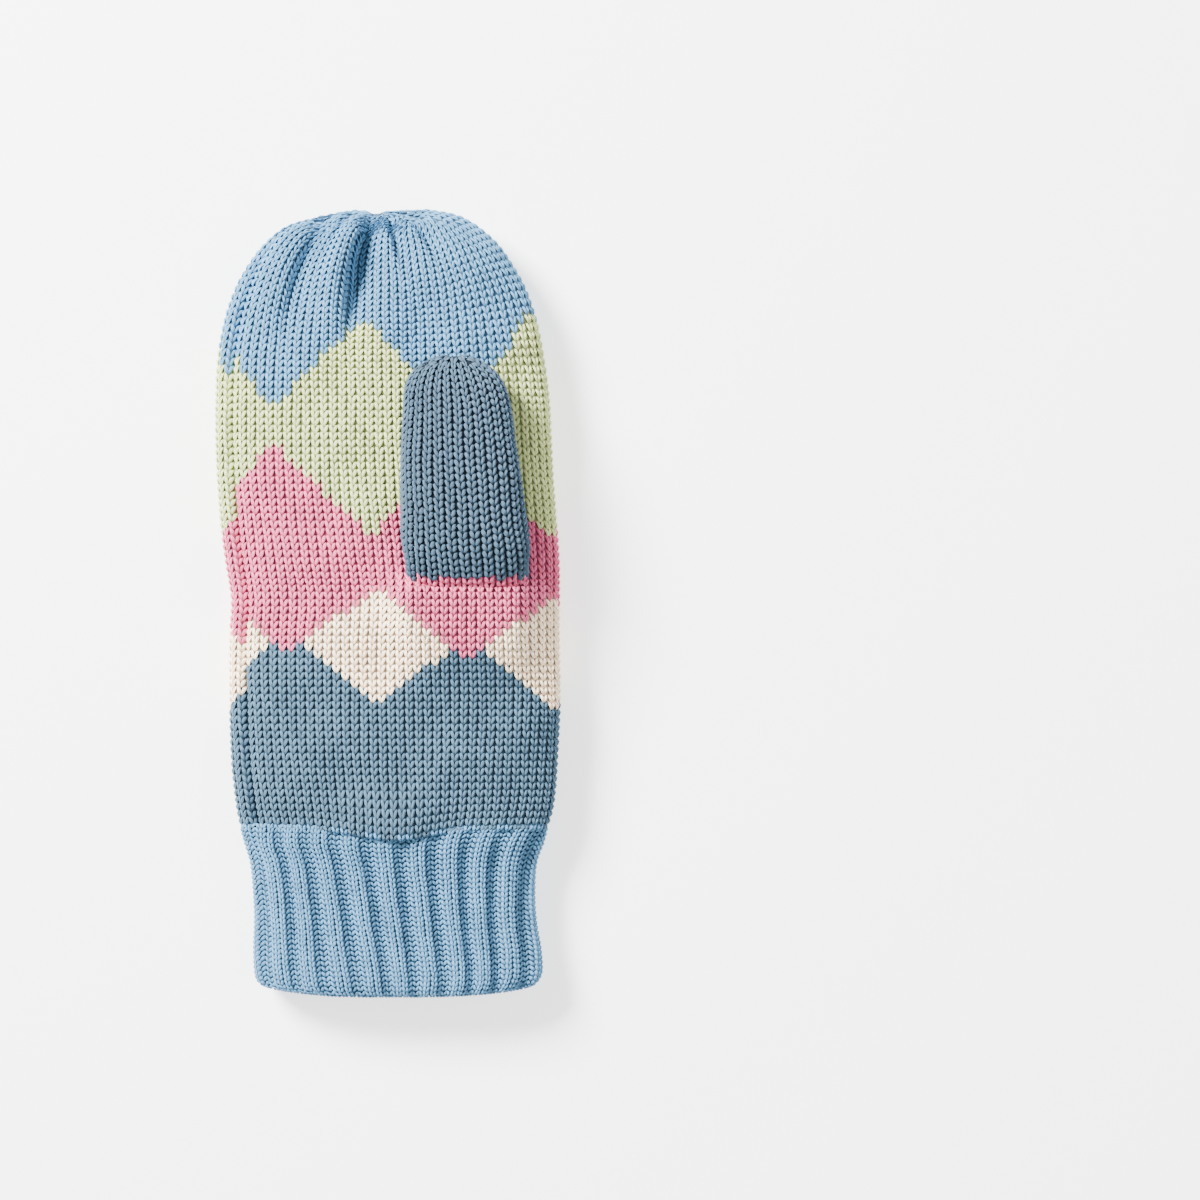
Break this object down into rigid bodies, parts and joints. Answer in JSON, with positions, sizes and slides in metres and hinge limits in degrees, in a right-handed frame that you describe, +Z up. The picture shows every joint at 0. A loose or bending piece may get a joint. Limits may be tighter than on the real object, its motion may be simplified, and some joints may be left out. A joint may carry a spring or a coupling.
{
  "type": "fleece-lined mitten",
  "caption": "Knitted mitten with a warm lining, a rounded gathered crown, a set-in thumb folded over the palm and a ribbed cuff, lying palm up.",
  "frame": {"origin": "middle of the bounding box, on the surface that the mitten lies on", "axes": "+X to the thumb's side, +Y from the cuff to the fingertips, +Z up out of the palm"},
  "size_m": [0.1134, 0.2594, 0.039],
  "materials": {
    "knit_hand": "stockinette in sky blue, sage, pink, cream and slate, matt",
    "knit_thumb": "slate blue stockinette, matt",
    "knit_cuff": "sky blue two by two rib, matt"
  },
  "bodies": {
    "root": {"hand_body": "knit_hand", "thumb": "knit_thumb", "cuff": "knit_cuff"}
  },
  "joints": []
}
